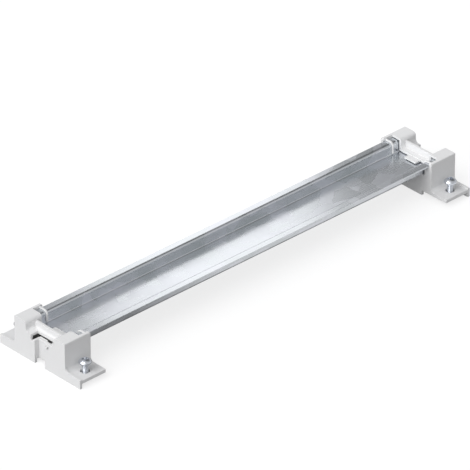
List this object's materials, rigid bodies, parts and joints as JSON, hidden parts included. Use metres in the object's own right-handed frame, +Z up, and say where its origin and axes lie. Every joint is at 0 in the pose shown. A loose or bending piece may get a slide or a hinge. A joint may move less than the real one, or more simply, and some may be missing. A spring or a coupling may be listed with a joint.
{
  "type": "din rail with end brackets",
  "caption": "Zinc-coated steel top-hat mounting rail, open side up, carried at both ends by light grey moulded brackets with screw ears and fixing screws.",
  "frame": {"origin": "on the floor under the middle of the rail", "axes": "+X along the rail, +Y across it, +Z up, out of the rail's open side"},
  "size_m": [0.2818, 0.062, 0.0221],
  "materials": {
    "zinc_coated_steel": "spangled zinc coating, satin",
    "grey_plastic": "fine grained moulded",
    "bright_zinc": "bright zinc plating"
  },
  "bodies": {
    "root": {"rail": "zinc_coated_steel", "end_bracket_left": "grey_plastic", "end_bracket_right": "grey_plastic", "screw_left_front": "bright_zinc", "screw_left_back": "bright_zinc", "screw_right_front": "bright_zinc", "screw_right_back": "bright_zinc"}
  },
  "joints": []
}
